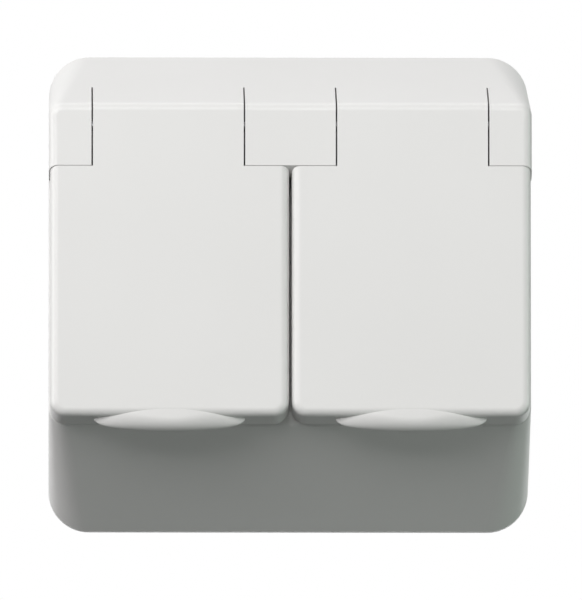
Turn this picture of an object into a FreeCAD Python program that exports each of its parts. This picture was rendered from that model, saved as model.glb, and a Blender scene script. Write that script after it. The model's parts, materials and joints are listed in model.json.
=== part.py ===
import FreeCAD, Part
import Sketcher
import math
import os

# Outdoor weatherproof double socket for a wall.
# +X runs to the right, +Y into the wall and +Z up. The origin is the middle of the back face.
# Every length is in millimetres. A depth called "away" is measured from the wall towards the room, along -Y.

SIZES = {
    # making
    "overcut": 1.0,
    "weld": 0.55,
    # box
    "box_width": 142.0,
    "box_height": 141.2,
    "box_depth": 60.0,
    "flange_depth": 4.0,
    "wall_corner": 12.0,
    "front_corner": 3.6,
    "top_slope": 20.0,
    "bottom_slope": 33.0,
    "housing_wall": 2.5,
    "plate_setback": 14.0,
    "edge_rounding": 2.5,
    "plate_rounding": 1.2,
    # lids
    "lid_gap": 0.8,
    "lid_wall": 2.2,
    "lid_foot_rise": 1.6,
    "lid_draft": 1.2,
    "lid_corner": 4.5,
    "lid_seat_gap": 0.3,
    "tab_width": 44.3,
    "tab_shift": 0.4,
    "tab_slit": 0.45,
    "tab_proud": 0.1,
    "lug_wall": 2.6,
    "lip_width": 42.0,
    "lip_drop": 4.4,
    "lip_roll": 3.9,
    "lip_tip": 0.8,
    "lip_setback": 0.05,
    # hinge
    "hinge_inset": 9.8,
    "hinge_drop": 5.4,
    "drum_radius": 16.1,
    "drum_gap": 0.15,
    "trough_gap": 0.3,
    "trough_wall": 2.0,
    "hub_reach": 4.2,
    "pin_radius": 1.5,
    "pin_running_gap": 0.05,
    "pin_seat_gap": 0.02,
    "pin_seat": 5.0,
    "spring_radius": 2.6,
    "spring_wire": 0.45,
    "spring_turns": 4,
    "spring_end_angle": 74.5,
    "spring_bearing": 0.1,
    # seals
    "seal_width": 3.6,
    "seal_gap": 0.3,
    "seal_fit": 0.05,
    "seal_rib": 1.0,
    "seal_rib_height": 2.0,
    "rim_seal_inset": 0.8,
    "rim_seal_width": 1.0,
    "rim_seal_depth": 1.5,
    # sockets
    "socket_spacing": 71.0,
    "collar_room": 4.9,
    "collar_wall": 2.0,
    "collar_height": 8.0,
    "well_inset": 8.4,
    "well_depth": 17.5,
    "well_wall": 2.5,
    "well_rounding": 0.6,
    "cover_flange": 2.0,
    "cover_fit": 0.4,
    "pin_hole_spacing": 19.0,
    "pin_hole_radius": 2.75,
    "guide_width": 4.7,
    "guide_depth": 2.4,
    "guide_drop": 2.0,
    "clip_width": 6.4,
    "clip_thickness": 0.8,
    "clip_bulge": 1.5,
    "clip_gap": 0.3,
    "clip_recess": 0.7,
    "clip_slot_length": 15.9,
    "clip_bend_share": 0.7,
    # carrier and contacts
    "carrier_overhang": 1.9,
    "carrier_height": 28.0,
    "carrier_depth": 18.6,
    "carrier_corner": 3.0,
    "carrier_ear": 10.0,
    "carrier_ear_thickness": 4.0,
    "sleeve_outer": 3.3,
    "sleeve_inner": 2.45,
    "sleeve_length": 12.0,
    "contact_fit": 0.4,
    "chamber_room": 0.8,
    "channel_room": 1.6,
    "terminal_inset": 1.4,
    "terminal_width": 6.5,
    "terminal_height": 7.0,
    "terminal_depth": 8.0,
    "wire_hole_radius": 1.8,
    "strip_thickness": 1.5,
    # screws
    "cover_screw_inset": 9.0,
    "cover_screw_drop": 24.8,
    "cover_screw_rise": 9.7,
    "cover_screw_radius": 1.75,
    "cover_screw_head": 3.6,
    "cover_screw_head_height": 2.2,
    "cover_screw_bite": 11.0,
    "washer_radius": 4.2,
    "washer_thickness": 1.0,
    "pillar_radius": 4.5,
    "pillar_height": 20.0,
    "post_radius": 3.5,
    "small_screw_radius": 1.5,
    "small_screw_head": 2.8,
    "small_screw_head_height": 1.6,
    "small_screw_bite": 9.0,
    "terminal_screw_radius": 1.3,
    "terminal_screw_head": 2.2,
    "terminal_screw_head_height": 0.6,
    "terminal_screw_length": 3.7,
    "screw_tip_room": 1.0,
    "screw_play": 0.2,
    "slot_share": 0.6,
    "slot_width": 0.8,
    # back box
    "base_floor": 2.5,
    "base_rim_height": 14.0,
    "base_rim_wall": 2.0,
    "base_rim_gap": 0.3,
    "fixing_side_inset": 19.0,
    "fixing_top_inset": 18.6,
    "fixing_slot_radius": 2.6,
    "fixing_slot_length": 9.0,
    "entry_radius": 10.0,
    "entry_aside": 16.5,
    "entry_drop": 7.0,
    "grommet_lip": 2.0,
    "grommet_cone": 3.0,
    "grommet_tip": 4.0,
    "grommet_wall": 1.2,
}


# Sizes and formulas

class Size:
    """A length that keeps both its number and the formula that binds a feature to the sheet."""

    def __init__(self, value, text):
        self.value = value
        self.text = text

    def __add__(self, other):
        other = as_size(other)
        return Size(self.value + other.value, f"({self.text} + {other.text})")

    def __sub__(self, other):
        other = as_size(other)
        return Size(self.value - other.value, f"({self.text} - {other.text})")

    def __mul__(self, other):
        other = as_size(other)
        return Size(self.value * other.value, f"({self.text} * {other.text})")

    def __truediv__(self, other):
        other = as_size(other)
        return Size(self.value / other.value, f"({self.text} / {other.text})")

    def __neg__(self):
        return Size(-self.value, f"(0 - {self.text})")

    def __radd__(self, other):
        return as_size(other) + self

    def __rsub__(self, other):
        return as_size(other) - self

    def __rmul__(self, other):
        return as_size(other) * self


DEGREE = Size(1.0, "1 deg")


def as_size(number):
    if isinstance(number, Size):
        return number
    return Size(float(number), f"({number})")


def root_of(size):
    return Size(math.sqrt(size.value), f"sqrt({size.text})")


def least_of(first, second):
    return Size(min(first.value, second.value), f"min({first.text}; {second.text})")


def sine(size):
    return Size(math.sin(math.radians(size.value)), f"sin({size.text} * 1 deg)")


def cosine(size):
    return Size(math.cos(math.radians(size.value)), f"cos({size.text} * 1 deg)")


def tangent(size):
    return Size(math.tan(math.radians(size.value)), f"tan({size.text} * 1 deg)")


doc = FreeCAD.newDocument("weatherproof_socket")
sheet = doc.addObject("Spreadsheet::Sheet", "Sizes")
worked = doc.addObject("App::VarSet", "Worked")
size = {}
for row, (alias, number) in enumerate(SIZES.items(), start=1):
    sheet.set(f"A{row}", alias)
    sheet.set(f"B{row}", str(number))
    sheet.setAlias(f"B{row}", alias)
    size[alias] = Size(number, f"Sizes.{alias}")
doc.recompute()


def work_out(alias, formula):
    """Give a worked-out size its own name in the document."""
    worked.addProperty("App::PropertyFloat", alias, "Worked")
    worked.setExpression(alias, formula.text)
    size[alias] = Size(formula.value, f"Worked.{alias}")
    return size[alias]


def bind(thing, name, formula):
    thing.setExpression(name, as_size(formula).text)


# Places that several pieces share

overcut = size["overcut"]
half_width = work_out("half_width", size["box_width"] / 2)
half_height = work_out("half_height", size["box_height"] / 2)
slope_run = work_out("slope_run", size["box_depth"] - size["flange_depth"])
crease_z = work_out("crease_z", half_height - slope_run * tangent(size["top_slope"]))
plate_away = work_out("plate_away", size["box_depth"] - size["plate_setback"])
plate_rear = work_out("plate_rear", plate_away - size["housing_wall"])
plate_run = work_out("plate_run", plate_away - size["flange_depth"])
hinge_y = work_out("hinge_y", size["hinge_inset"] - size["box_depth"])
hinge_z = work_out("hinge_z", crease_z - size["hinge_drop"])
socket_x = work_out("socket_x", size["socket_spacing"] / 2)
lid_width = work_out("lid_width", half_width - size["lid_gap"])
lid_x = work_out("lid_x", half_width / 2)
hinge_x = work_out("hinge_x", lid_x + size["tab_shift"])
lid_rear = work_out("lid_rear", plate_away + size["lid_seat_gap"])
lid_inside = work_out("lid_inside", size["box_depth"] - size["lid_wall"])
ear_radius = work_out("ear_radius", size["drum_radius"] - size["drum_gap"])
slot_radius = work_out("slot_radius", size["drum_radius"] + size["trough_gap"])
slot_half = work_out("slot_half", size["tab_width"] / 2 + size["tab_slit"])
plate_foot = work_out("plate_foot", half_height - plate_run * tangent(size["bottom_slope"]))
lid_foot = work_out("lid_foot", plate_foot - size["lid_foot_rise"])
room_top = work_out("room_top", hinge_z - slot_radius)
room_foot = work_out("room_foot", size["lid_wall"] - lid_foot)
room_width = work_out("room_width", lid_width - size["lid_wall"] * 2)
socket_z = work_out("socket_z", (room_top + room_foot) / 2)
room_height = work_out("room_height", room_top - room_foot)
collar_outer = work_out("collar_outer", least_of(room_width, room_height) / 2 - size["collar_room"])
collar_inner = work_out("collar_inner", collar_outer - size["collar_wall"])
seal_radius = work_out("seal_radius", (collar_outer + collar_inner) / 2)
well_radius = work_out("well_radius", collar_outer - size["well_inset"])
collar_front = work_out("collar_front", plate_away + size["collar_height"])
well_floor = work_out("well_floor", collar_front - size["well_depth"])
cover_rear = work_out("cover_rear", well_floor - size["well_wall"])
cover_radius = work_out("cover_radius", well_radius + size["well_wall"])
clip_radius = work_out("clip_radius", well_radius + size["clip_recess"])
strap_front = work_out("strap_front", cover_rear - size["clip_gap"])
strap_rear = work_out("strap_rear", strap_front - size["clip_thickness"])
carrier_front = work_out("carrier_front", strap_rear - size["seal_fit"])
carrier_rear = work_out("carrier_rear", carrier_front - size["carrier_depth"])
carrier_half = work_out("carrier_half", cover_radius + size["carrier_overhang"])
terminal_reach = work_out("terminal_reach", carrier_half - size["terminal_inset"])
carrier_screw_z = work_out("carrier_screw_z", (size["carrier_height"] + size["carrier_ear"]) / 2)
tube_end = work_out("tube_end", size["pillar_height"] + size["seal_gap"])
fixing_x = work_out("fixing_x", half_width - size["fixing_side_inset"])
fixing_z = work_out("fixing_z", half_height - size["fixing_top_inset"])
entry_x = work_out("entry_x", fixing_x - size["entry_aside"])
entry_z = work_out("entry_z", fixing_z - size["entry_drop"])
screw_x = work_out("screw_x", half_width - size["cover_screw_inset"])
screw_top = work_out("screw_top", hinge_z - size["cover_screw_drop"])
screw_foot = work_out("screw_foot", size["cover_screw_rise"] - lid_foot)
slope_reach = work_out(
    "slope_reach",
    size["hinge_inset"] * sine(size["top_slope"]) + size["hinge_drop"] * cosine(size["top_slope"]),
)
tab_crease_z = work_out("tab_crease_z", crease_z + size["tab_proud"] / cosine(size["top_slope"]))


# Drawing helpers

def origin_part(body, role):
    return [part for part in body.Origin.OriginFeatures if part.Role == role][0]


def new_body(name, x=None, z=None):
    body = doc.addObject("PartDesign::Body", name)
    body.Label = name
    if x is not None:
        bind(body, "Placement.Base.x", x)
    if z is not None:
        bind(body, "Placement.Base.z", z)
    return body


def fix_point(sketch, edge, end, point):
    for kind, value in (("DistanceX", point[0]), ("DistanceY", point[1])):
        value = as_size(value)
        number = sketch.addConstraint(Sketcher.Constraint(kind, edge, end, value.value))
        bind(sketch, f"Constraints[{number}]", value)


def draw_circle(sketch, circle):
    centre, radius = circle[1], as_size(circle[2])
    flat = FreeCAD.Vector(as_size(centre[0]).value, as_size(centre[1]).value, 0)
    edge = sketch.addGeometry(Part.Circle(flat, FreeCAD.Vector(0, 0, 1), radius.value), False)
    fix_point(sketch, edge, 3, centre)
    number = sketch.addConstraint(Sketcher.Constraint("Radius", edge, radius.value))
    bind(sketch, f"Constraints[{number}]", radius)


def flat_vector(point):
    return FreeCAD.Vector(as_size(point[0]).value, as_size(point[1]).value, 0)


def draw_outline(sketch, points):
    """Draw a closed outline. A point (u, v, radius, centre) starts an arc to the next point."""
    edges = []
    for number, point in enumerate(points):
        start = flat_vector(point)
        finish = flat_vector(points[(number + 1) % len(points)])
        if len(point) == 2:
            edge = sketch.addGeometry(Part.LineSegment(start, finish), False)
            edges.append((edge, 1, 2))
            continue
        centre = flat_vector(point[3])
        outward = (start + finish) * 0.5 - centre
        middle = centre + outward.normalize() * as_size(point[2]).value
        edge = sketch.addGeometry(Part.Arc(start, middle, finish), False)
        to_first = sketch.getPoint(edge, 1).distanceToPoint(start)
        turned = to_first > sketch.getPoint(edge, 2).distanceToPoint(start)
        edges.append((edge, 2, 1) if turned else (edge, 1, 2))
        radius = sketch.addConstraint(Sketcher.Constraint("Radius", edge, as_size(point[2]).value))
        bind(sketch, f"Constraints[{radius}]", point[2])
    for number, (edge, begin, end) in enumerate(edges):
        following, following_begin, _ = edges[(number + 1) % len(edges)]
        sketch.addConstraint(Sketcher.Constraint("Coincident", edge, end, following, following_begin))
        fix_point(sketch, edge, begin, points[number])


def draw(body, name, plane, away, *loops):
    """Make a sketch on one of the body's own planes, moved along its normal."""
    sketch = body.newObject("Sketcher::SketchObject", name)
    sketch.AttachmentSupport = [(origin_part(body, plane), "")]
    sketch.MapMode = "FlatFace"
    bind(sketch, "AttachmentOffset.Base.z", away)
    for loop in loops:
        if loop[0] == "circle":
            draw_circle(sketch, loop)
        else:
            draw_outline(sketch, loop)
    return sketch


def circle(u, v, radius):
    return ("circle", (u, v), radius)


def rounded(left, right, low, high, radius):
    return [
        (left + radius, low),
        (right - radius, low, radius, (right - radius, low + radius)),
        (right, low + radius),
        (right, high - radius, radius, (right - radius, high - radius)),
        (right - radius, high),
        (left + radius, high, radius, (left + radius, high - radius)),
        (left, high - radius),
        (left, low + radius, radius, (left + radius, low + radius)),
    ]


def rectangle(left, right, low, high):
    return [(left, low), (right, low), (right, high), (left, high)]


def raise_profile(body, kind, sketch, length, both_ways, turned):
    made = body.newObject(kind, sketch.Name + "_" + kind.split("::")[1].lower())
    made.Profile = sketch
    made.SideType = "Symmetric" if both_ways else "One side"
    made.Reversed = turned
    bind(made, "Length", length)
    return made


def pad(body, sketch, length, both_ways=False, turned=False):
    return raise_profile(body, "PartDesign::Pad", sketch, length, both_ways, turned)


def pocket(body, sketch, length, both_ways=False, turned=False):
    return raise_profile(body, "PartDesign::Pocket", sketch, length, both_ways, turned)


def revolve(body, sketch):
    """Turn a sketch in the XY plane about the body's own Y axis."""
    made = body.newObject("PartDesign::Revolution", sketch.Name + "_turned")
    made.Profile = sketch
    made.ReferenceAxis = (sketch, ["V_Axis"])
    made.Angle = 360
    return made


def loft(body, kind, first, second):
    made = body.newObject(kind, first.Name + "_loft")
    made.Profile = first
    made.Sections = [second]
    made.Ruled = True
    return made


def mirror(body, plane, *features):
    made = body.newObject("PartDesign::Mirrored", features[0].Name + "_mirrored")
    made.Originals = list(features)
    made.MirrorPlane = (origin_part(body, plane), [""])
    body.Tip = made
    return made


def fillet(body, name, radius, wanted):
    """Round the edges of the body's last feature whose ends and middle satisfy the test."""
    doc.recompute()
    base = body.Tip
    names = []
    for number, edge in enumerate(base.Shape.Edges, start=1):
        ends = [vertex.Point for vertex in edge.Vertexes]
        middle = edge.valueAt((edge.FirstParameter + edge.LastParameter) / 2)
        if wanted(ends, middle):
            names.append(f"Edge{number}")
    made = body.newObject("PartDesign::Fillet", name)
    made.Base = (base, names)
    bind(made, "Radius", radius)
    return made


def all_at_y(ends, y):
    return all(near(point.y, y) for point in ends)


def near(first, second, room=0.02):
    return abs(first - second) < room


def solid_rod(name, radius, length):
    rod = doc.addObject("Part::Cylinder", name)
    rod.Label = name
    bind(rod, "Radius", radius)
    bind(rod, "Height", length)
    return rod


def gather(name, members):
    group = doc.addObject("Part::Compound", name)
    group.Label = name
    group.Links = members
    return group


# Housing

def box_section(away, inset):
    """The box's outline at a distance from the wall, drawn in by an inset square to each wall."""
    run = away - size["flange_depth"]
    low = run * tangent(size["bottom_slope"]) + inset / cosine(size["bottom_slope"]) - half_height
    high = half_height - run * tangent(size["top_slope"]) - inset / cosine(size["top_slope"])
    shrink = (size["wall_corner"] - size["front_corner"]) * run / slope_run
    radius = size["wall_corner"] - shrink - inset
    return rounded(inset - half_width, half_width - inset, low, high, radius)


def on_drum(y_from_hinge, radius):
    """Height of the lower half of a circle about the hinge."""
    return hinge_z - root_of(radius * radius - y_from_hinge * y_from_hinge)


def front_clearance(name, body):
    """The room in front of the front plate, under the rounded ears."""
    beyond = size["box_depth"] + overcut
    plate_y = -plate_away
    plate_arc = on_drum(plate_y - hinge_y, ear_radius)
    front_arc = on_drum(-size["box_depth"] - hinge_y, ear_radius)
    outline = [
        (-beyond, -half_height),
        (plate_y, -half_height),
        (plate_y, plate_arc, ear_radius, (hinge_y, hinge_z)),
        (-size["box_depth"], front_arc),
        (-beyond, front_arc),
    ]
    return draw(body, name, "YZ_Plane", as_size(0), outline)


def trough_outline(radius):
    """A sector about the hinge from inside the front plate to inside the top wall."""
    low_y = size["plate_setback"] - size["hinge_inset"] + size["housing_wall"] / 2
    low_z = -root_of(radius * radius - low_y * low_y)
    depth = slope_reach - size["housing_wall"] / 2
    along = root_of(radius * radius - depth * depth)
    high_y = along * cosine(size["top_slope"]) - depth * sine(size["top_slope"])
    high_z = along * sine(size["top_slope"]) + depth * cosine(size["top_slope"])
    side = root_of(as_size(0.5)) * radius
    return [
        (hinge_y, hinge_z),
        (hinge_y + low_y, hinge_z + low_z, radius, (hinge_y, hinge_z)),
        (hinge_y + side, hinge_z - side, radius, (hinge_y, hinge_z)),
        (hinge_y + high_y, hinge_z + high_z),
    ]


def screw_places():
    return [(x, z) for z in (screw_top, screw_foot) for x in (-screw_x, screw_x)]


def make_housing():
    body = new_body("housing")
    rear = draw(body, "rear_outline", "XZ_Plane", size["flange_depth"],
                box_section(size["flange_depth"], as_size(0)))
    front = draw(body, "front_outline", "XZ_Plane", size["box_depth"],
                 box_section(size["box_depth"], as_size(0)))
    loft(body, "PartDesign::AdditiveLoft", rear, front)
    front_y = -SIZES["box_depth"]
    fillet(body, "front_rounding", size["edge_rounding"], lambda ends, middle: all_at_y(ends, front_y))

    mouth = size["flange_depth"] - overcut
    cavity_rear = draw(body, "cavity_rear", "XZ_Plane", mouth, box_section(mouth, size["housing_wall"]))
    cavity_front = draw(body, "cavity_front", "XZ_Plane", plate_rear,
                        box_section(plate_rear, size["housing_wall"]))
    loft(body, "PartDesign::SubtractiveLoft", cavity_rear, cavity_front)
    pocket(body, front_clearance("under_ears", body), size["box_width"] + overcut * 2, both_ways=True)
    plate_y = -plate_away.value
    foot = socket_z.value
    fillet(body, "plate_rounding", size["plate_rounding"],
           lambda ends, middle: all_at_y(ends, plate_y) and middle.z < foot)

    shell_outline = trough_outline(slot_radius + size["trough_wall"])
    shell = draw(body, "trough_shell", "YZ_Plane", -hinge_x, shell_outline)
    trough = pad(body, shell, (slot_half + size["trough_wall"]) * 2, both_ways=True)
    drum = draw(body, "drum_slot", "YZ_Plane", -hinge_x, circle(hinge_y, hinge_z, slot_radius))
    opening = pocket(body, drum, slot_half * 2, both_ways=True)
    bore = draw(body, "pin_bore", "YZ_Plane", -hinge_x,
                circle(hinge_y, hinge_z, size["pin_radius"] + size["pin_seat_gap"]))
    pin_bore = pocket(body, bore, (slot_half + size["pin_seat"] + size["pin_seat_gap"]) * 2, both_ways=True)
    mirror(body, "YZ_Plane", trough, opening, pin_bore)

    collars = []
    holes = []
    for side in (-socket_x, socket_x):
        collars.append(circle(side, socket_z, collar_outer))
        collars.append(circle(side, socket_z, collar_inner))
        holes.append(circle(side, socket_z, cover_radius + size["cover_fit"]))
    pad(body, draw(body, "collars", "XZ_Plane", plate_away, *collars), size["collar_height"])
    pocket(body, draw(body, "socket_holes", "XZ_Plane", plate_away, *holes), size["housing_wall"] + overcut)

    tubes = [circle(x, z, size["pillar_radius"]) for x, z in screw_places()]
    bores = [circle(x, z, size["cover_screw_radius"] + size["screw_play"]) for x, z in screw_places()]
    pad(body, draw(body, "screw_tubes", "XZ_Plane", tube_end, *tubes),
        plate_away - tube_end - size["housing_wall"] / 2)
    pocket(body, draw(body, "screw_bores", "XZ_Plane", plate_away, *bores), plate_away - tube_end + overcut)
    return body


# Back box

def make_base():
    body = new_body("base")
    outline = box_section(size["flange_depth"], as_size(0))
    pad(body, draw(body, "back_plate", "XZ_Plane", as_size(0), outline), size["flange_depth"])
    inset = size["housing_wall"] + size["base_rim_gap"]
    inner = box_section(size["base_rim_height"], inset + size["base_rim_wall"])
    outer = box_section(size["base_rim_height"], inset)
    pocket(body, draw(body, "floor_recess", "XZ_Plane", size["flange_depth"], inner),
           size["flange_depth"] - size["base_floor"])
    pad(body, draw(body, "rim", "XZ_Plane", size["base_floor"], outer, inner),
        size["base_rim_height"] - size["base_floor"])

    groove_outer = box_section(size["flange_depth"], size["rim_seal_inset"])
    groove_inner = box_section(size["flange_depth"], size["rim_seal_inset"] + size["rim_seal_width"])
    pocket(body, draw(body, "seal_groove", "XZ_Plane", size["flange_depth"], groove_outer, groove_inner),
           size["rim_seal_depth"])

    pillars = [circle(x, z, size["pillar_radius"]) for x, z in screw_places()]
    pad(body, draw(body, "pillars", "XZ_Plane", size["base_floor"] / 2, *pillars),
        size["pillar_height"] - size["base_floor"] / 2)
    bores = [circle(x, z, size["cover_screw_radius"]) for x, z in screw_places()]
    pocket(body, draw(body, "pillar_bores", "XZ_Plane", size["pillar_height"], *bores),
           size["cover_screw_bite"] + overcut)

    posts = []
    post_bores = []
    for x in (-socket_x, socket_x):
        for z in (socket_z - carrier_screw_z, socket_z + carrier_screw_z):
            posts.append(circle(x, z, size["post_radius"]))
            post_bores.append(circle(x, z, size["small_screw_radius"]))
    pad(body, draw(body, "carrier_posts", "XZ_Plane", size["base_floor"] / 2, *posts),
        carrier_rear - size["base_floor"] / 2)
    pocket(body, draw(body, "post_bores", "XZ_Plane", carrier_rear, *post_bores), size["small_screw_bite"])

    cuts = []
    reach = size["fixing_slot_length"] / 2
    for x in (-fixing_x, fixing_x):
        for z in (-fixing_z, fixing_z):
            radius = size["fixing_slot_radius"]
            flat = reach - radius
            cuts.append([
                (x - flat, z - radius),
                (x + flat, z - radius, radius, (x + flat, z)),
                (x + reach, z, radius, (x + flat, z)),
                (x + flat, z + radius),
                (x - flat, z + radius, radius, (x - flat, z)),
                (x - reach, z, radius, (x - flat, z)),
            ])
    for x in (-entry_x, entry_x):
        cuts.append(circle(x, entry_z, size["entry_radius"]))
    floor_cuts = draw(body, "floor_cuts", "XZ_Plane", size["base_floor"], *cuts)
    pocket(body, floor_cuts, size["base_floor"] + overcut)
    return body


def make_rim_seal():
    body = new_body("perimeter_seal")
    inset = size["rim_seal_inset"] + size["seal_fit"]
    outer = box_section(size["flange_depth"], inset)
    inner = box_section(size["flange_depth"], inset + size["rim_seal_width"] - size["seal_fit"] * 2)
    low = size["flange_depth"] - size["rim_seal_depth"]
    pad(body, draw(body, "seal_ring", "XZ_Plane", low, outer, inner), size["rim_seal_depth"])
    return body


def make_grommet(name, x):
    """A rubber entry with a stepped cone, closed by a thin skin."""
    body = new_body(name, x, entry_z)
    neck = size["entry_radius"] - size["seal_fit"]
    lip = size["entry_radius"] + size["grommet_lip"]
    floor = -size["base_floor"]
    wall = size["grommet_wall"]
    top = floor - size["grommet_lip"]
    tip = top - size["grommet_cone"]
    profile = [
        (as_size(0), tip),
        (size["grommet_tip"], tip),
        (neck - wall, top),
        (lip, top),
        (lip, floor),
        (neck, floor),
        (neck, -size["seal_gap"]),
        (neck - wall, -size["seal_gap"]),
        (neck - wall, top + wall),
        (size["grommet_tip"], tip + wall),
        (as_size(0), tip + wall),
    ]
    revolve(body, draw(body, name + "_profile", "XY_Plane", as_size(0), profile))
    return body


# Lids

def lid_block(body, name):
    foot_front = -lid_foot
    foot_rear = foot_front - size["lid_draft"]
    rear = -lid_rear
    front = -size["box_depth"]
    radius = size["drum_radius"]
    outline = [
        (front, foot_front),
        (rear, foot_rear),
        (rear, on_drum(rear - hinge_y, radius), radius, (hinge_y, hinge_z)),
        (front, on_drum(front - hinge_y, radius)),
    ]
    return draw(body, name, "YZ_Plane", as_size(0), outline)


def lid_hollow(body, name):
    foot = size["lid_wall"] - lid_foot
    rear = overcut - lid_rear
    front = -lid_inside
    radius = size["drum_radius"] + size["lid_wall"]
    outline = [
        (front, foot),
        (rear, foot - size["lid_draft"]),
        (rear, on_drum(rear - hinge_y, radius), radius, (hinge_y, hinge_z)),
        (front, on_drum(front - hinge_y, radius)),
    ]
    return draw(body, name, "YZ_Plane", as_size(0), outline)


def slope_point(depth, along):
    """A point under the top slope: its depth from the hinge square to the slope, and its way along it."""
    y = along * cosine(size["top_slope"]) - depth * sine(size["top_slope"])
    z = along * sine(size["top_slope"]) + depth * cosine(size["top_slope"])
    return (hinge_y + y, hinge_z + z)


def tab_block(body, name, shift):
    foot = hinge_z - size["drum_radius"] - size["weld"]
    height = slope_reach + size["tab_proud"]
    reach = root_of(size["drum_radius"] * size["drum_radius"] - height * height)
    outline = [
        (-size["box_depth"], foot),
        (-lid_rear, foot),
        (hinge_y + size["hub_reach"], hinge_z),
        slope_point(height, reach),
        (-size["box_depth"], tab_crease_z),
    ]
    return draw(body, name, "YZ_Plane", shift, outline)


def tab_hollow(body, name, shift):
    radius = size["drum_radius"]
    front = -lid_inside
    rear = overcut - lid_rear
    depth = slope_reach - size["lid_wall"]
    far = slope_point(depth, radius + size["lid_wall"])
    lift = (depth + sine(size["top_slope"]) * (front - hinge_y)) / cosine(size["top_slope"])
    rear_z = on_drum(rear - hinge_y, radius)
    outline = [
        (front, hinge_z + lift),
        (front, on_drum(front - hinge_y, radius), radius, (hinge_y, hinge_z)),
        (rear, rear_z),
        (far[0], rear_z),
        far,
    ]
    return draw(body, name, "YZ_Plane", shift, outline)


def add_lip(body):
    """The finger lip: the front face runs down in a lens shape and rolls under like a spindle."""
    half = size["lip_width"] / 2
    axis_y = size["lip_setback"] + size["lip_roll"] - size["box_depth"]
    axis_z = size["lip_roll"] - size["lip_drop"] - lid_foot
    rise = size["lip_roll"] - size["lip_tip"]
    bow = (half * half + rise * rise) / (rise * 2)
    plan = [
        (-half, axis_y),
        (-half, axis_y - size["lip_tip"], bow, (as_size(0), axis_y - size["lip_roll"] + bow)),
        (half, axis_y - size["lip_tip"]),
        (half, axis_y),
    ]
    pad(body, draw(body, "lip_plan", "XY_Plane", axis_z, plan), size["edge_rounding"] - lid_foot - axis_z)
    roll = [
        (-half, as_size(0)),
        (-half, -size["lip_tip"], bow, (as_size(0), bow - size["lip_roll"])),
        (half, -size["lip_tip"]),
        (half, as_size(0)),
    ]
    sketch = draw(body, "lip_roll", "XZ_Plane", -axis_y, roll)
    bind(sketch, "AttachmentOffset.Base.y", axis_z)
    spindle = revolve(body, sketch)
    spindle.ReferenceAxis = (sketch, ["H_Axis"])
    spindle.Angle = 90
    spindle.Reversed = True


def make_lid(name, x, shift):
    """A lid about its own middle, whose hinge tab is shifted towards the box's side."""
    body = new_body(name, x)
    pad(body, lid_block(body, "block"), lid_width, both_ways=True)
    half = lid_width.value / 2
    foot = -lid_foot.value
    foot_rear = foot - SIZES["lid_draft"]
    front_y = -SIZES["box_depth"]
    shoulder = on_drum(-size["box_depth"] - hinge_y, size["drum_radius"]).value
    fillet(body, "foot_corners", size["lid_corner"],
           lambda ends, middle: near(abs(middle.x), half) and near(middle.z, (foot + foot_rear) / 2))
    fillet(body, "front_rounding", size["edge_rounding"],
           lambda ends, middle: all_at_y(ends, front_y) and not near(middle.z, shoulder))
    add_lip(body)
    pocket(body, lid_hollow(body, "hollow"), room_width, both_ways=True)
    pad(body, tab_block(body, "tab", shift), size["tab_width"], both_ways=True)
    crease = tab_crease_z.value
    fillet(body, "tab_crease", size["edge_rounding"],
           lambda ends, middle: near(middle.z, crease) and near(middle.y, front_y))
    inside = tab_hollow(body, "tab_inside", shift)
    pocket(body, inside, size["tab_width"] - size["lug_wall"] * 2, both_ways=True)
    bore = draw(body, "hinge_bore", "YZ_Plane", shift,
                circle(hinge_y, hinge_z, size["pin_radius"] + size["pin_running_gap"]))
    pocket(body, bore, size["tab_width"] + overcut * 2, both_ways=True)

    half_seal = size["seal_width"] / 2
    rings = []
    for reach in (half_seal + size["seal_rib"], half_seal, -half_seal, -half_seal - size["seal_rib"]):
        rings.append(circle(0, socket_z, seal_radius + reach))
    pad(body, draw(body, "seal_ribs", "XZ_Plane", lid_inside - size["seal_rib_height"], *rings),
        size["seal_rib_height"] + size["weld"])
    return body


def make_lid_seal(name, x):
    body = new_body(name, x)
    half = size["seal_width"] / 2 - size["seal_fit"]
    rear = collar_front + size["seal_gap"]
    rings = (
        circle(0, socket_z, seal_radius + half),
        circle(0, socket_z, seal_radius - half),
    )
    pad(body, draw(body, name + "_ring", "XZ_Plane", rear, *rings), lid_inside - rear)
    return body


# Hinge pins and springs

def make_hinge_pin(name, x):
    length = (slot_half + size["pin_seat"]) * 2
    pin = solid_rod(name, size["pin_radius"], length)
    pin.Placement = FreeCAD.Placement(FreeCAD.Vector(0, 0, 0), FreeCAD.Rotation(FreeCAD.Vector(0, 1, 0), 90))
    bind(pin, "Placement.Base.x", x - length / 2)
    bind(pin, "Placement.Base.y", hinge_y)
    bind(pin, "Placement.Base.z", hinge_z)
    return pin


def coil_profile():
    """Half the section of close-wound turns, each with a chamfered back, along the spring's axis."""
    wire = size["spring_wire"]
    inner = size["spring_radius"] - wire
    outer = size["spring_radius"] + wire
    start = -size["spring_turns"] * wire
    points = [(start, inner)]
    for turn in range(int(SIZES["spring_turns"])):
        foot = start + wire * (turn * 2)
        points.append((foot, size["spring_radius"]))
        points.append((foot + wire / 2, outer))
        points.append((foot + wire * 3 / 2, outer))
    points.append((-start, size["spring_radius"]))
    points.append((-start, inner))
    return points


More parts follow.
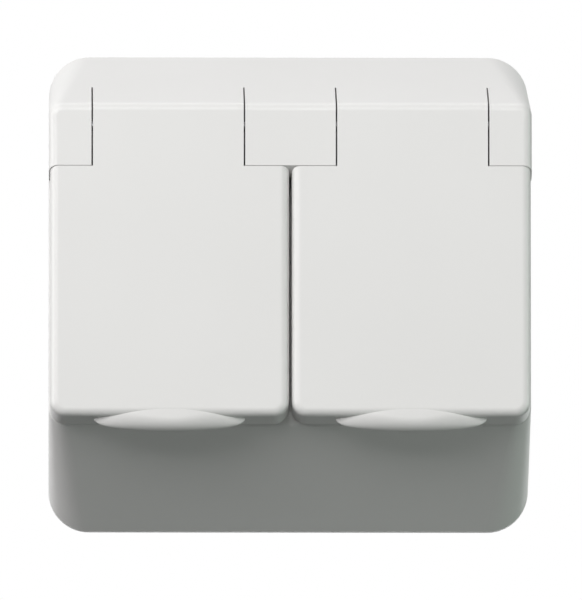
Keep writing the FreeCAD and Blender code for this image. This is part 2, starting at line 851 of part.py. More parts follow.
def make_spring(name, x):
    """A torsion spring on the pin: one arm bears on the lid's front, the other low in the trough."""
    body = new_body(name, x, hinge_z)
    bind(body, "Placement.Base.y", hinge_y)
    wire = size["spring_wire"]
    tangent_line = size["spring_radius"] + size["spring_bearing"]
    end = (size["spring_turns"] - 1) * wire - size["spring_bearing"]
    coil = revolve(body, draw(body, name + "_coil", "XY_Plane", as_size(0), coil_profile()))
    coil.ReferenceAxis = (coil.Profile[0], ["H_Axis"])
    front_arm = draw(body, name + "_front_arm", "XZ_Plane", as_size(0), circle(-end, tangent_line, wire))
    pad(body, front_arm, lid_inside + hinge_y - size["spring_bearing"])
    rear_arm = draw(body, name + "_rear_arm", "XZ_Plane", as_size(0), circle(end, -tangent_line, wire))
    rear_arm.AttachmentOffset = FreeCAD.Placement(
        FreeCAD.Vector(0, 0, 0), FreeCAD.Rotation(FreeCAD.Vector(1, 0, 0), 180 - SIZES["spring_end_angle"]))
    bind(rear_arm, "AttachmentOffset.Rotation.Angle", (180 - size["spring_end_angle"]) * DEGREE)
    reach = slot_radius - wire - size["spring_bearing"]
    pad(body, rear_arm, root_of(reach * reach - tangent_line * tangent_line))
    return body


# Socket inserts

def make_insert_cover(name, x):
    body = new_body(name, x, socket_z)
    inner = well_radius
    flange = collar_inner - size["cover_fit"]
    profile = [
        (as_size(0), -well_floor),
        (as_size(0), -cover_rear),
        (cover_radius, -cover_rear),
        (cover_radius, -plate_away),
        (flange, -plate_away),
        (flange, -plate_away - size["cover_flange"]),
        (cover_radius, -plate_away - size["cover_flange"]),
        (cover_radius, -collar_front),
        (inner, -collar_front),
        (inner, -well_floor),
    ]
    revolve(body, draw(body, name + "_profile", "XY_Plane", as_size(0), profile))
    front_y = -collar_front.value
    fillet(body, name + "_mouth", size["well_rounding"], lambda ends, middle: all_at_y(ends, front_y))
    half = size["guide_width"] / 2
    guides = [
        rectangle(inner - size["guide_depth"], inner + size["well_wall"] / 2, -half, half),
        rectangle(-inner - size["well_wall"] / 2, size["guide_depth"] - inner, -half, half),
    ]
    pad(body, draw(body, name + "_guides", "XZ_Plane", well_floor - size["well_wall"] / 2, *guides),
        size["well_depth"] + size["well_wall"] / 2 - size["guide_drop"])
    clip_half = size["clip_width"] / 2 + size["clip_gap"]
    clip_outer = clip_radius + size["clip_gap"]
    clip_inner = clip_radius - size["clip_thickness"] - size["clip_bulge"] - size["clip_gap"]
    slots = [
        rectangle(-clip_half, clip_half, clip_inner, clip_outer),
        rectangle(-clip_half, clip_half, -clip_outer, -clip_inner),
    ]
    slot_front = well_floor + size["clip_slot_length"]
    pocket(body, draw(body, name + "_clip_slots", "XZ_Plane", slot_front, *slots),
           slot_front - cover_rear + overcut)
    holes = [
        circle(-size["pin_hole_spacing"] / 2, 0, size["pin_hole_radius"]),
        circle(size["pin_hole_spacing"] / 2, 0, size["pin_hole_radius"]),
        circle(0, 0, size["small_screw_radius"] + size["screw_play"]),
    ]
    pocket(body, draw(body, name + "_holes", "XZ_Plane", well_floor, *holes), size["well_wall"] + overcut)
    return body


def make_carrier(name, x):
    body = new_body(name, x, socket_z)
    half_x = carrier_half
    half_z = size["carrier_height"] / 2
    ear = half_z + size["carrier_ear"]
    ear_half = size["carrier_ear"] / 2
    corner = size["carrier_corner"]
    block = rounded(-half_x, half_x, -half_z, half_z, corner)
    pad(body, draw(body, name + "_block", "XZ_Plane", carrier_rear, block), size["carrier_depth"])
    bridge = rounded(-ear_half, ear_half, -ear, ear, corner)
    pad(body, draw(body, name + "_ears", "XZ_Plane", carrier_rear, bridge), size["carrier_ear_thickness"])
    fit = size["contact_fit"]
    sleeve = size["sleeve_outer"] + fit
    terminal = size["terminal_height"] / 2 + fit
    centre = size["pin_hole_spacing"] / 2
    chambers = [circle(-centre, 0, sleeve), circle(centre, 0, sleeve)]
    pocket(body, draw(body, name + "_chambers", "XZ_Plane", carrier_front, *chambers),
           size["sleeve_length"] + size["chamber_room"])
    channels = [
        rectangle(centre, half_x + overcut, -terminal, terminal),
        rectangle(-half_x - overcut, -centre, -terminal, terminal),
    ]
    pocket(body, draw(body, name + "_channels", "XZ_Plane", carrier_front, *channels),
           size["terminal_depth"] + size["channel_room"])
    middle = draw(body, name + "_middle", "XZ_Plane", carrier_front, circle(0, 0, size["small_screw_radius"]))
    pocket(body, middle, size["small_screw_bite"] + overcut)
    screw_hole = size["small_screw_radius"] + size["screw_play"]
    fixing = draw(body, name + "_fixing", "XZ_Plane", carrier_front,
                  circle(0, -carrier_screw_z, screw_hole), circle(0, carrier_screw_z, screw_hole))
    pocket(body, fixing, size["carrier_depth"] + overcut)
    return body


def make_contact(name, x, turned):
    """A brass sleeve for a plug pin, a strip, and a terminal block with its wire hole."""
    body = new_body(name, x, socket_z)
    centre = size["pin_hole_spacing"] / 2
    front = carrier_front - size["contact_fit"]
    rear = front - size["sleeve_length"]
    half = size["terminal_height"] / 2
    inner_end = terminal_reach - size["terminal_width"]
    strip_rear = front - size["terminal_depth"]
    sleeve = draw(body, name + "_sleeve", "XZ_Plane", rear, circle(centre, 0, size["sleeve_outer"]))
    pad(body, sleeve, size["sleeve_length"])
    strip = rectangle(centre, inner_end + size["weld"], -half, half)
    pad(body, draw(body, name + "_strip", "XZ_Plane", strip_rear, strip), size["strip_thickness"])
    block = rectangle(inner_end, terminal_reach, -half, half)
    pad(body, draw(body, name + "_block", "XZ_Plane", strip_rear, block), size["terminal_depth"])
    bore = circle(centre, 0, size["sleeve_inner"])
    pocket(body, draw(body, name + "_bore", "XZ_Plane", front, bore), size["sleeve_length"] + overcut)
    screw = circle(inner_end + size["terminal_width"] / 2, 0, size["terminal_screw_radius"])
    pocket(body, draw(body, name + "_thread", "XZ_Plane", front, screw), size["terminal_depth"] / 2)
    wire_y = -strip_rear - size["strip_thickness"] - size["wire_hole_radius"]
    wire = circle(wire_y, 0, size["wire_hole_radius"])
    pocket(body, draw(body, name + "_wire", "YZ_Plane", terminal_reach, wire),
           size["terminal_width"] / 2)
    if turned:
        body.Placement = FreeCAD.Placement(
            FreeCAD.Vector(x.value, 0, socket_z.value), FreeCAD.Rotation(FreeCAD.Vector(0, 1, 0), 180))
        bind(body, "Placement.Base.x", x)
        bind(body, "Placement.Base.z", socket_z)
    return body


def make_earth_bow(name, x):
    """A sprung strip behind the well, whose two arms rise in the well at the top and the bottom."""
    body = new_body(name, x, socket_z)
    thick = size["clip_thickness"]
    outer = clip_radius
    tip = well_floor + size["clip_slot_length"] - size["clip_gap"]
    bend = strap_rear + (tip - strap_rear) * size["clip_bend_share"]
    bulge = size["clip_bulge"]
    outline = [
        (-strap_rear, as_size(0)),
        (-strap_rear, outer),
        (-bend, outer - bulge),
        (-tip, outer),
        (-tip, outer - thick),
        (-bend, outer - bulge - thick),
        (-strap_front, outer - thick),
        (-strap_front, as_size(0)),
    ]
    arm = pad(body, draw(body, name + "_arm", "YZ_Plane", as_size(0), outline), size["clip_width"],
              both_ways=True)
    mirror(body, "XY_Plane", arm)
    hole = circle(0, 0, size["small_screw_radius"] + size["screw_play"])
    pocket(body, draw(body, name + "_hole", "XZ_Plane", strap_front, hole), thick + overcut)
    return body


# Screws and washers

def make_screw(name, x, z, head_rear, radius, head, head_height, length):
    """A screw along Y with a domed, slotted head whose underside lies head_rear away from the wall."""
    body = new_body(name, x, z)
    bind(body, "Placement.Base.y", -head_rear)
    face = head * size["slot_share"]
    profile = [
        (as_size(0), -head_height),
        (face, -head_height),
        (head, -head_height / 2),
        (head, as_size(0)),
        (radius, as_size(0)),
        (radius, length - radius),
        (radius / 2, length),
        (as_size(0), length),
    ]
    revolve(body, draw(body, name + "_profile", "XY_Plane", as_size(0), profile))
    half = size["slot_width"] / 2
    slot = draw(body, name + "_slot", "XZ_Plane", head_height + overcut, rectangle(-head, head, -half, half))
    pocket(body, slot, head_height / 2 + overcut)
    return body


def make_cover_screws():
    screws = []
    washers = []
    for number, (x, z) in enumerate(screw_places(), start=1):
        seat = plate_away + size["washer_thickness"]
        length = seat - size["pillar_height"] + size["cover_screw_bite"]
        screws.append(make_screw(f"cover_screw_{number}", x, z, seat, size["cover_screw_radius"],
                                 size["cover_screw_head"], size["cover_screw_head_height"], length))
        washer = new_body(f"cover_washer_{number}", x, z)
        rings = (
            circle(0, 0, size["washer_radius"]),
            circle(0, 0, size["cover_screw_radius"] + size["screw_play"]),
        )
        pad(washer, draw(washer, f"washer_ring_{number}", "XZ_Plane", plate_away, *rings),
            size["washer_thickness"])
        washers.append(washer)
    return [gather("cover_screws", screws), gather("cover_washers", washers)]


def make_insert_screws(side, x):
    small = (size["small_screw_radius"], size["small_screw_head"], size["small_screw_head_height"])
    centre = make_screw(side + "_centre_screw", x, socket_z, well_floor, *small,
                        well_floor - carrier_front + size["small_screw_bite"])
    fixing = []
    for number, z in enumerate((socket_z - carrier_screw_z, socket_z + carrier_screw_z), start=1):
        seat = carrier_rear + size["carrier_ear_thickness"]
        length = size["carrier_ear_thickness"] + size["small_screw_bite"] - size["screw_tip_room"]
        fixing.append(make_screw(f"{side}_fixing_screw_{number}", x, z, seat, *small, length))
    terminals = []
    reach = terminal_reach - size["terminal_width"] / 2
    for number, place in enumerate((x - reach, x + reach), start=1):
        front = carrier_front - size["contact_fit"]
        terminals.append(make_screw(
            f"{side}_terminal_screw_{number}", place, socket_z, front, size["terminal_screw_radius"],
            size["terminal_screw_head"], size["terminal_screw_head_height"], size["terminal_screw_length"]))
    return [centre, gather(side + "_fixing_screws", fixing), gather(side + "_terminal_screws", terminals)]


# The whole assembly

nodes = [make_housing(), make_base(), make_rim_seal()]
nodes += make_cover_screws()
for side, sign in (("left", -1), ("right", 1)):
    lid_centre = lid_x * sign
    hinge_centre = hinge_x * sign
    socket_centre = socket_x * sign
    nodes.append(make_grommet(side + "_cable_grommet", entry_x * sign))
    nodes.append(make_lid(side + "_lid", lid_centre, size["tab_shift"] * sign))
    nodes.append(make_lid_seal(side + "_lid_seal", lid_centre))
    nodes.append(make_hinge_pin(side + "_hinge_pin", hinge_centre))
    nodes.append(make_spring(side + "_lid_spring", hinge_centre))
    nodes.append(make_insert_cover(side + "_insert_cover", socket_centre))
    nodes.append(make_carrier(side + "_insert_carrier", socket_centre))
    nodes.append(make_contact(side + "_line_contact", socket_centre, False))
    nodes.append(make_contact(side + "_neutral_contact", socket_centre, True))
    nodes.append(make_earth_bow(side + "_earth_bow", socket_centre))
    nodes += make_insert_screws(side, socket_centre)

doc.recompute()
for thing in doc.Objects:
    if "Invalid" in thing.State or "Error" in thing.State:
        raise RuntimeError(f"{thing.Label} did not build: {thing.State}")
for node in nodes:
    if node.Shape.isNull() or not node.Shape.isValid():
        raise RuntimeError(f"{node.Label} has no valid shape")
    if not node.Shape.Solids:
        raise RuntimeError(f"{node.Label} has no solid")

os.makedirs("parts", exist_ok=True)
for node in nodes:
    node.Shape.exportStep(f"parts/{node.Label}.step")
    box = node.Shape.BoundBox
    low = f"{box.XMin:.2f} {box.YMin:.2f} {box.ZMin:.2f}"
    high = f"{box.XMax:.2f} {box.YMax:.2f} {box.ZMax:.2f}"
    print(f"{node.Label}: {len(node.Shape.Solids)} solid, {node.Shape.Volume:.0f} mm3, from {low} to {high}")
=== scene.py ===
import bpy
import bmesh
import json
import math
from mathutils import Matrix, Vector

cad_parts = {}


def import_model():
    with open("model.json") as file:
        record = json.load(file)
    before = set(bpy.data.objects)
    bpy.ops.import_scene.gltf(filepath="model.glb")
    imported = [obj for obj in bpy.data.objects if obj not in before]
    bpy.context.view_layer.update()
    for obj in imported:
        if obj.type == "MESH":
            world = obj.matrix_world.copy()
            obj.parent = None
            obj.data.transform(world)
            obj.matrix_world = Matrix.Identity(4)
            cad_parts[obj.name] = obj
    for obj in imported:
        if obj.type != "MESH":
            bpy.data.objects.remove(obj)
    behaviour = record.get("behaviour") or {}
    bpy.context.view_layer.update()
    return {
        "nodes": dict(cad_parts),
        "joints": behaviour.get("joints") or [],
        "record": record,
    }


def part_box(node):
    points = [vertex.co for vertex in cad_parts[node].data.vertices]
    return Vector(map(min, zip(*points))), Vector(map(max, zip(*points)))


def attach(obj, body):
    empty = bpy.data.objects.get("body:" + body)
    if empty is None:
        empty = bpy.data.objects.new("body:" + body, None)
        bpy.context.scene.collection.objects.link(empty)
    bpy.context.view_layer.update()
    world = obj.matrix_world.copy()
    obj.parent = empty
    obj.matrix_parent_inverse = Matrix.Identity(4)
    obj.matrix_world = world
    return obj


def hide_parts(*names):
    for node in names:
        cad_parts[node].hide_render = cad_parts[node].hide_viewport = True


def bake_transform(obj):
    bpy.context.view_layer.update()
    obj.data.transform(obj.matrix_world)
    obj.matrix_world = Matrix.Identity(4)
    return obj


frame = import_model()

# Lengths are in metres, so sizes in millimetres are written with MM.
MM = 0.001

# Camera
IMAGE_HEIGHT = 600
PIXELS_PER_MM = 3.405
CAMERA_AZIMUTH = math.radians(-0.7)
CAMERA_ELEVATION = math.radians(-6.0)
CAMERA_DISTANCE = 6.0
CAMERA_NEAR = 0.1
CAMERA_FAR = 40.0
SENSOR = 36.0
AIM = Vector((0.00015, -0.060, -0.0076))

# Stage
FLOOR_Z = -4.0
FLOOR_SIZE = 24.0
FLOOR_DRIFT = 0.8
FLOOR_ROUGHNESS = 0.9
WHITE_LIGHT = (1.0, 1.0, 1.0)
THROWN_LIGHT = (0.86, 1.0, 0.91)  # greenish, as the surroundings throw it back

# Finishes
SKIN_SHARE = 0.75  # of the plastic's relief, against its finer grain
DUST_FROM = 0.58
DUST_CONTRAST = 9.0
MARK_ROUGHNESS = 0.08  # that drawing lines and turning marks add to bare metal

# Places of the colours among a Mix node's sockets
MIX_FIRST = 6
MIX_SECOND = 7
MIX_RESULT = 2

# Lid springs
SPRING_OUTER = 3.05 * MM  # radius of the coil
SPRING_WIRE = 0.4 * MM  # radius of the wire
SPRING_END_ANGLE = math.radians(74.5)  # past the coil's whole turns
SPRING_STEPS = 40  # in one turn
SPRING_ARM_STEPS = 6
SPRING_SIDES = 10
SPRING_SHARP = math.radians(60)  # edges that bend more than this stay crisp

# Finger lips
LIP_HALF = 22.2 * MM  # from the middle to a point
LIP_REACH = 3.93 * MM  # from the roll's axis to the front, in the middle
LIP_FALL = 3.1 * MM  # how much of that reach is lost towards the points
LIP_BOW = 3.3  # power by which it is lost
LIP_ROLL = 3.95 * MM  # radius of the roll, in the middle
LIP_RISE = 0.46  # share of the roll that is lost at the points
LIP_LIFT = 2.5 * MM  # how far the roll's start rises towards the points
LIP_LIFT_BOW = 3  # power by which it rises
LIP_POINT = 9  # power of the curve that closes the points
LIP_ROOT = 2.6 * MM  # from the roll's axis up into the lid
LIP_SKIN = 0.05 * MM  # how far it covers the lid's own foot
LIP_SPREAD = 0.96  # share of a half turn whose sine spaces the sections
LIP_STATIONS = 96
LIP_STEPS = 14


def add_node(tree, kind, settings, values, output=0):
    """A node with its settings made before its sockets are filled; gives one of its outputs."""
    made = tree.nodes.new(kind)
    for label, value in settings.items():
        setattr(made, label, value)
    for label, value in values.items():
        if isinstance(value, bpy.types.NodeSocket):
            tree.links.new(value, made.inputs[label])
        else:
            made.inputs[label].default_value = value
    return made.outputs[output]


def new_object(name, data):
    """An object at the origin that is part of the scene."""
    thing = bpy.data.objects.new(name, data)
    bpy.context.scene.collection.objects.link(thing)
    return thing


# Shader maths

class Value:
    """A node's output that can stand in sums with numbers and other outputs."""

    def __init__(self, shader, socket):
        self.shader = shader
        self.socket = socket

    def maths(self, operation, *inputs):
        return self.shader.node("ShaderNodeMath", {"operation": operation}, dict(enumerate(inputs)))

    def __add__(self, other):
        return self.maths("ADD", self, other)

    def __radd__(self, other):
        return self.maths("ADD", other, self)

    def __sub__(self, other):
        return self.maths("SUBTRACT", self, other)

    def __rsub__(self, other):
        return self.maths("SUBTRACT", other, self)

    def __mul__(self, other):
        return self.maths("MULTIPLY", self, other)

    def __rmul__(self, other):
        return self.maths("MULTIPLY", other, self)

    def clamped(self):
        """The same value, held between 0 and 1."""
        settings = {"operation": "ADD", "use_clamp": True}
        return self.shader.node("ShaderNodeMath", settings, {0: self, 1: 0.0})


def between(share, low, high):
    """A value that goes from low to high as the share goes from 0 to 1."""
    return low + share * (high - low)


class Shader:
    """A material whose finish is worked out from the object's own coordinates, in metres."""

    def __init__(self, name, **constants):
        self.material = bpy.data.materials.new(name)
        self.material.use_nodes = True
        self.tree = self.material.node_tree
        self.surface = self.tree.nodes["Principled BSDF"]
        for label, value in constants.items():
            self.surface.inputs[label.replace("_", " ")].default_value = value
        coordinates = self.tree.nodes.new("ShaderNodeTexCoord")
        self.place = Value(self, coordinates.outputs["Object"])

    def node(self, kind, settings, values, output=0):
        """Any node, from its settings and from the values or links of its sockets."""
        sockets = {
            label: value.socket if isinstance(value, Value) else value
            for label, value in values.items()
        }
        return Value(self, add_node(self.tree, kind, settings, sockets, output))

    def noise(self, size, detail=2.0, stretch=(1, 1, 1)):
        """Noise whose lumps are about this size, longer where the stretch is under 1."""
        scaled = self.node("ShaderNodeVectorMath", {"operation": "MULTIPLY"},
                           {0: self.place, 1: tuple(way / size for way in stretch)})
        return self.node("ShaderNodeTexNoise", {},
                         {"Vector": scaled, "Scale": 1.0, "Detail": detail})

    def feed(self, label, value):
        """Join a value to one of the surface's sockets."""
        self.tree.links.new(value.socket, self.surface.inputs[label])

    def colour(self, share, first, second):
        """Base colour that goes from the first to the second as the share goes from 0 to 1."""
        mixed = self.node("ShaderNodeMix", {"data_type": "RGBA"},
                          {"Factor": share, MIX_FIRST: (*first, 1.0), MIX_SECOND: (*second, 1.0)},
                          output=MIX_RESULT)
        self.feed("Base Color", mixed)

    def roughness(self, value):
        self.feed("Roughness", value)

    def relief(self, height, depth):
        """Fine relief as deep as this where the height goes from 0 to 1."""
        self.feed("Normal", self.node("ShaderNodeBump", {}, {"Height": height, "Distance": depth}))


# Finishes

def white_plastic():
    """UV-stable moulded plastic: clean white, satin, with faint moulding texture."""
    finish = Shader("white_shell", Specular_IOR_Level=0.5, IOR=1.5)
    drift = finish.noise(45 * MM, detail=1.0)
    flow = finish.noise(12 * MM, stretch=(1, 1, 0.35))
    skin = finish.noise(1.6 * MM, detail=1.0)
    grain = finish.noise(0.32 * MM)
    finish.colour(drift, (0.80, 0.792, 0.778), (0.835, 0.827, 0.814))
    finish.roughness(between(flow, 0.34, 0.43))
    finish.relief(skin * SKIN_SHARE + grain * (1 - SKIN_SHARE), 0.014 * MM)
    return finish.material


def insulator():
    """Thermosetting moulding behind the wells: greyer, matt and slightly speckled."""
    finish = Shader("insulator")
    speckle = finish.noise(0.7 * MM, detail=3.0)
    dust = ((speckle - DUST_FROM) * DUST_CONTRAST).clamped()
    finish.colour(dust, (0.60, 0.59, 0.56), (0.46, 0.45, 0.42))
    finish.roughness(between(speckle, 0.62, 0.77))
    finish.relief(speckle, 0.04 * MM)
    return finish.material


def rubber():
    """Soft black seal with the dull, slightly dusty skin of moulded rubber."""
    finish = Shader("seal")
    bloom = finish.noise(4 * MM, detail=3.0)
    grain = finish.noise(0.3 * MM)
    finish.colour(bloom, (0.018, 0.018, 0.019), (0.045, 0.045, 0.046))
    finish.roughness(between(grain, 0.66, 0.86))
    finish.relief(grain, 0.03 * MM)
    return finish.material


def brass():
    """Rolled brass strip with fine drawing lines and a little dulling."""
    finish = Shader("contact", Metallic=1.0)
    dulling = finish.noise(6 * MM, detail=3.0)
    lines = finish.noise(0.4 * MM, detail=1.0, stretch=(1, 0.04, 1))
    finish.colour(dulling, (0.80, 0.60, 0.28), (0.66, 0.46, 0.20))
    finish.roughness(between(dulling, 0.24, 0.40) + lines * MARK_ROUGHNESS)
    finish.relief(lines, 0.01 * MM)
    return finish.material


def plated_steel():
    """Zinc-plated steel with turning marks and a faint cloudiness."""
    finish = Shader("steel", Metallic=1.0)
    cloud = finish.noise(3 * MM, detail=3.0)
    marks = finish.noise(0.25 * MM, detail=1.0, stretch=(0.2, 1, 0.2))
    finish.colour(cloud, (0.62, 0.63, 0.65), (0.48, 0.49, 0.50))
    finish.roughness(between(cloud, 0.26, 0.38) + marks * MARK_ROUGHNESS)
    finish.relief(marks, 0.008 * MM)
    return finish.material


FINISHES = {
    "white_shell": white_plastic(),
    "insulator": insulator(),
    "seal": rubber(),
    "contact": brass(),
    "steel": plated_steel(),
}


def dress_nodes():
    """Give each solid the finish that its record slot names."""
    slots = {part["node"]: part["material_slot"] for part in frame["record"]["subparts"]}
    for node, thing in frame["nodes"].items():
        finish = FINISHES[slots[node]]
        if thing.material_slots:
            for slot in thing.material_slots:
                slot.material = finish
        else:
            thing.data.materials.append(finish)


# Lid springs

def wire_tree(finish):
    """The nodes that sweep a round wire along a chain of edges and close both its ends."""
    tree = bpy.data.node_groups.new("round_wire", "GeometryNodeTree")
    for name, way, kind in (
        ("Path", "INPUT", "NodeSocketGeometry"),
        ("Wire radius", "INPUT", "NodeSocketFloat"),
        ("Sides", "INPUT", "NodeSocketInt"),
        ("Sharp from", "INPUT", "NodeSocketFloat"),
        ("Wire", "OUTPUT", "NodeSocketGeometry"),
    ):
        tree.interface.new_socket(name, in_out=way, socket_type=kind)
    given = tree.nodes.new("NodeGroupInput").outputs
    path = add_node(tree, "GeometryNodeMeshToCurve", {}, {"Mesh": given["Path"]})
    circle = add_node(tree, "GeometryNodeCurvePrimitiveCircle", {"mode": "RADIUS"},
                      {"Resolution": given["Sides"], "Radius": given["Wire radius"]})
    swept = add_node(tree, "GeometryNodeCurveToMesh", {},
                     {"Curve": path, "Profile Curve": circle, "Fill Caps": True})
    smooth = add_node(tree, "GeometryNodeSetShadeSmooth", {"domain": "FACE"}, {"Geometry": swept})
    bend = add_node(tree, "GeometryNodeInputMeshEdgeAngle", {}, {}, output="Unsigned Angle")
    is_rim = add_node(tree, "FunctionNodeCompare",
                      {"data_type": "FLOAT", "operation": "GREATER_THAN"},
                      {"A": bend, "B": given["Sharp from"]})
    crisp = add_node(tree, "GeometryNodeSetShadeSmooth", {"domain": "EDGE"},
                     {"Geometry": smooth, "Selection": is_rim, "Shade Smooth": False})
    whole = add_node(tree, "GeometryNodeRealizeInstances", {}, {"Geometry": crisp})
    coated = add_node(tree, "GeometryNodeSetMaterial", {}, {"Geometry": whole, "Material": finish})
    tree.links.new(coated, tree.nodes.new("NodeGroupOutput").inputs["Wire"])
    return tree


def wire(name, points, tree):
    """A plain mesh of round wire along these points, made by the nodes of the tree."""
    path = bpy.data.meshes.new(name)
    path.from_pydata(points, [(number, number + 1) for number in range(len(points) - 1)], [])
    thing = new_object(name, path)
    sweep = thing.modifiers.new("wire", "NODES")
    sweep.node_group = tree
    sizes = {"Wire radius": SPRING_WIRE, "Sides": SPRING_SIDES, "Sharp from": SPRING_SHARP}
    for socket in tree.interface.items_tree:
        if socket.name in sizes:
            sweep[socket.identifier] = sizes[socket.name]
    shaped = thing.evaluated_get(bpy.context.evaluated_depsgraph_get())
    made = bpy.data.meshes.new_from_object(shaped)
    thing.modifiers.remove(sweep)
    thing.data = made
    return thing


def spring(side, tree):
    """The lid's torsion spring as wound wire: its front arm, the coil and its rear arm."""
    joint = next(joint for joint in frame["joints"] if joint["name"] == f"{side}_lid_hinge")
    hinge = Vector(joint["pos_m"])
    low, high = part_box(f"{side}_lid_spring")
    coil_half = (high.x - low.x) / 2 - SPRING_WIRE
    mean_radius = SPRING_OUTER - SPRING_WIRE
    whole_turns = math.floor(coil_half / SPRING_WIRE)
    total = math.tau * whole_turns + SPRING_END_ANGLE

    def on_coil(turned, x):
        return hinge + Vector((x, math.sin(turned) * mean_radius, math.cos(turned) * mean_radius))

    steps = round(total / math.tau * SPRING_STEPS)
    points = []
    front = on_coil(0, -coil_half)
    front_run = front.y - low.y - SPRING_WIRE
    for step in range(SPRING_ARM_STEPS):
        points.append(front - Vector((0, front_run * (1 - step / SPRING_ARM_STEPS), 0)))
    for step in range(steps + 1):
        share = step / steps
        points.append(on_coil(total * share, coil_half * (share * 2 - 1)))
    rear = points[-1]
    onward = Vector((0, math.cos(total), -math.sin(total)))
    rear_run = (rear.z - low.z - SPRING_WIRE) / -onward.z
    for step in range(1, SPRING_ARM_STEPS + 1):
        points.append(rear + onward * (rear_run * step / SPRING_ARM_STEPS))

    coil = wire(f"{side}_spring_wire", points, tree)
    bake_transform(coil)
    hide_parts(f"{side}_lid_spring")


# Finger lips

def lip_section(share, axis):
    """The outline at a share of the half width: a straight face that rolls under to the rear."""
    end = math.sqrt(1 - abs(share) ** LIP_POINT)
    reach = (LIP_REACH - LIP_FALL * abs(share) ** LIP_BOW) * end
    lift = LIP_LIFT * (1 - (1 - share ** 2) ** LIP_LIFT_BOW)
    roll = LIP_ROLL * (1 - LIP_RISE * share ** 2) * end + lift
    outline = [axis + Vector((0, 0, LIP_ROOT)), axis + Vector((0, -reach, LIP_ROOT))]
    for step in range(LIP_STEPS + 1):
        angle = step / LIP_STEPS * math.pi / 2
        outline.append(axis + Vector((0, -reach * math.cos(angle), lift - roll * math.sin(angle))))
    return outline


def lip(side):
    """The full lens that swells out of the lid's foot, flush with the lid's face in its middle."""
    low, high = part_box(f"{side}_lid")
    middle = Vector(((low.x + high.x) / 2, low.y + LIP_ROLL, low.z + LIP_ROLL - LIP_SKIN))
    mesh = bmesh.new()
    sections = []
    for number in range(LIP_STATIONS + 1):
        share = math.sin((number / LIP_STATIONS - 0.5) * math.pi * LIP_SPREAD)
        axis = middle + Vector((share * LIP_HALF, 0, 0))
        sections.append([mesh.verts.new(point) for point in lip_section(share, axis)])
    for first, second in zip(sections, sections[1:]):
        for number in range(len(first)):
            following = (number + 1) % len(first)
            corners = (first[number], first[following], second[following], second[number])
            face = mesh.faces.new(corners)
            face.smooth = 0 < number < len(first) - 1
    mesh.faces.new(sections[0])
    mesh.faces.new(sections[-1])
    bmesh.ops.recalc_face_normals(mesh, faces=mesh.faces)
    for edge in mesh.edges:
        edge.smooth = all(face.smooth for face in edge.link_faces)
    data = bpy.data.meshes.new(f"{side}_finger_lip")
    mesh.to_mesh(data)
    mesh.free()
    data.materials.append(FINISHES["white_shell"])
    piece = new_object(f"{side}_finger_lip", data)
    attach(piece, f"{side}_lid")


# Stage, light and camera

def floor():
    """A wide pale floor, far below the object."""
    bpy.ops.mesh.primitive_plane_add(size=FLOOR_SIZE, location=(0, 0, FLOOR_Z))
    plane = bpy.context.object
    plane.name = "floor"
    finish = Shader("pale_floor", Roughness=FLOOR_ROUGHNESS)
    drift = finish.noise(FLOOR_DRIFT, detail=1.0)
    finish.colour(drift, (0.86, 0.86, 0.86), (0.89, 0.89, 0.89))
    plane.data.materials.append(finish.material)


def world():
    """A white backdrop for the camera, glossy and clear surfaces, which lights nothing else."""
    sky = bpy.data.worlds.new("studio")
    sky.use_nodes = True
    bpy.context.scene.world = sky
    tree = sky.node_tree
    rays = tree.nodes.new("ShaderNodeLightPath").outputs
    seen = rays["Is Camera Ray"]
    for ray in ("Is Glossy Ray", "Is Transmission Ray"):
        seen = add_node(tree, "ShaderNodeMath", {"operation": "MAXIMUM"}, {0: seen, 1: rays[ray]})
    backdrop = tree.nodes["Background"]
    backdrop.inputs["Color"].default_value = (*WHITE_LIGHT, 1.0)
    tree.links.new(seen, backdrop.inputs["Strength"])


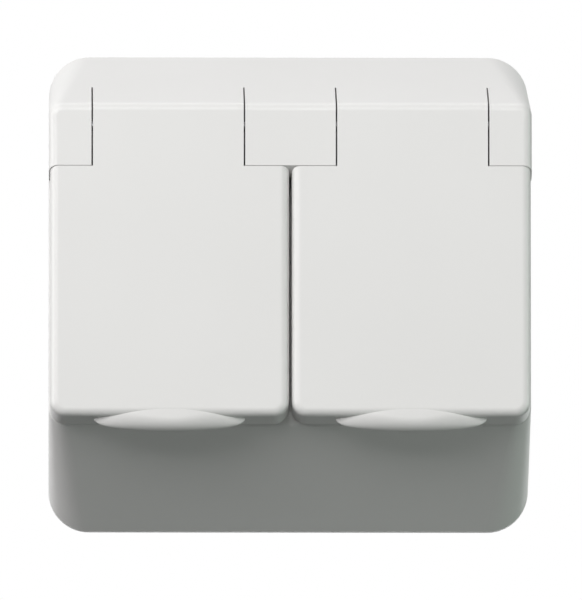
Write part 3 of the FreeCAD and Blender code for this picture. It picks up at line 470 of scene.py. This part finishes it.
def stand(thing, place, way):
    """Put a lamp or a camera at a place, facing this way."""
    thing.location = place
    thing.rotation_euler = way.to_track_quat("-Z", "Y").to_euler()


def softbox(name, place, size, power, colour=WHITE_LIGHT, reflected=True):
    """A studio lamp that faces the object, and that its gloss reflects unless told otherwise."""
    data = bpy.data.lights.new(name, "AREA")
    data.shape = "RECTANGLE"
    data.size, data.size_y = size
    data.energy = power
    data.color = colour
    light = new_object(name, data)
    light.visible_glossy = reflected
    stand(light, place, -Vector(place))


def lights():
    """Soft light from the upper left, a glow on the top slope, and greenish light from the right.

    Places and sizes are in metres, powers in watts.
    """
    softbox("key", place=(-0.8, -2.0, 1.0), size=(1.8, 1.4), power=46)
    softbox("fill", place=(0.8, -2.0, 1.0), size=(1.8, 1.4), power=8)
    softbox("rear_top", place=(0, 0.7, 1.9), size=(2.0, 1.0), power=11.5)
    softbox("left", place=(-1.8, -0.4, 0.3), size=(0.8, 1.2), power=13.5)
    softbox("right", place=(1.7, -0.3, -0.2), size=(0.7, 0.9), power=6.3, colour=THROWN_LIGHT)
    softbox("low_right", place=(0.34, -0.2, -0.42), size=(0.3, 0.3), power=0.22,
            colour=THROWN_LIGHT)
    softbox("back", place=(0, 2.2, 0.2), size=(1.8, 1.4), power=22, reflected=False)


def camera():
    """The photograph's view: nearly straight on, from a little below."""
    back = Vector((
        math.sin(CAMERA_AZIMUTH) * math.cos(CAMERA_ELEVATION),
        -math.cos(CAMERA_AZIMUTH) * math.cos(CAMERA_ELEVATION),
        math.sin(CAMERA_ELEVATION),
    ))
    data = bpy.data.cameras.new("camera")
    data.sensor_width = SENSOR
    data.lens = SENSOR * CAMERA_DISTANCE * PIXELS_PER_MM / (IMAGE_HEIGHT * MM)
    data.clip_start = CAMERA_NEAR
    data.clip_end = CAMERA_FAR
    view = new_object("camera", data)
    stand(view, AIM + back * CAMERA_DISTANCE, -back)
    bpy.context.scene.camera = view


dress_nodes()
spring_wire = wire_tree(FINISHES["steel"])
for side in ("left", "right"):
    spring(side, spring_wire)
    lip(side)
floor()
world()
lights()
camera()
bpy.context.scene.view_settings.view_transform = "Standard"
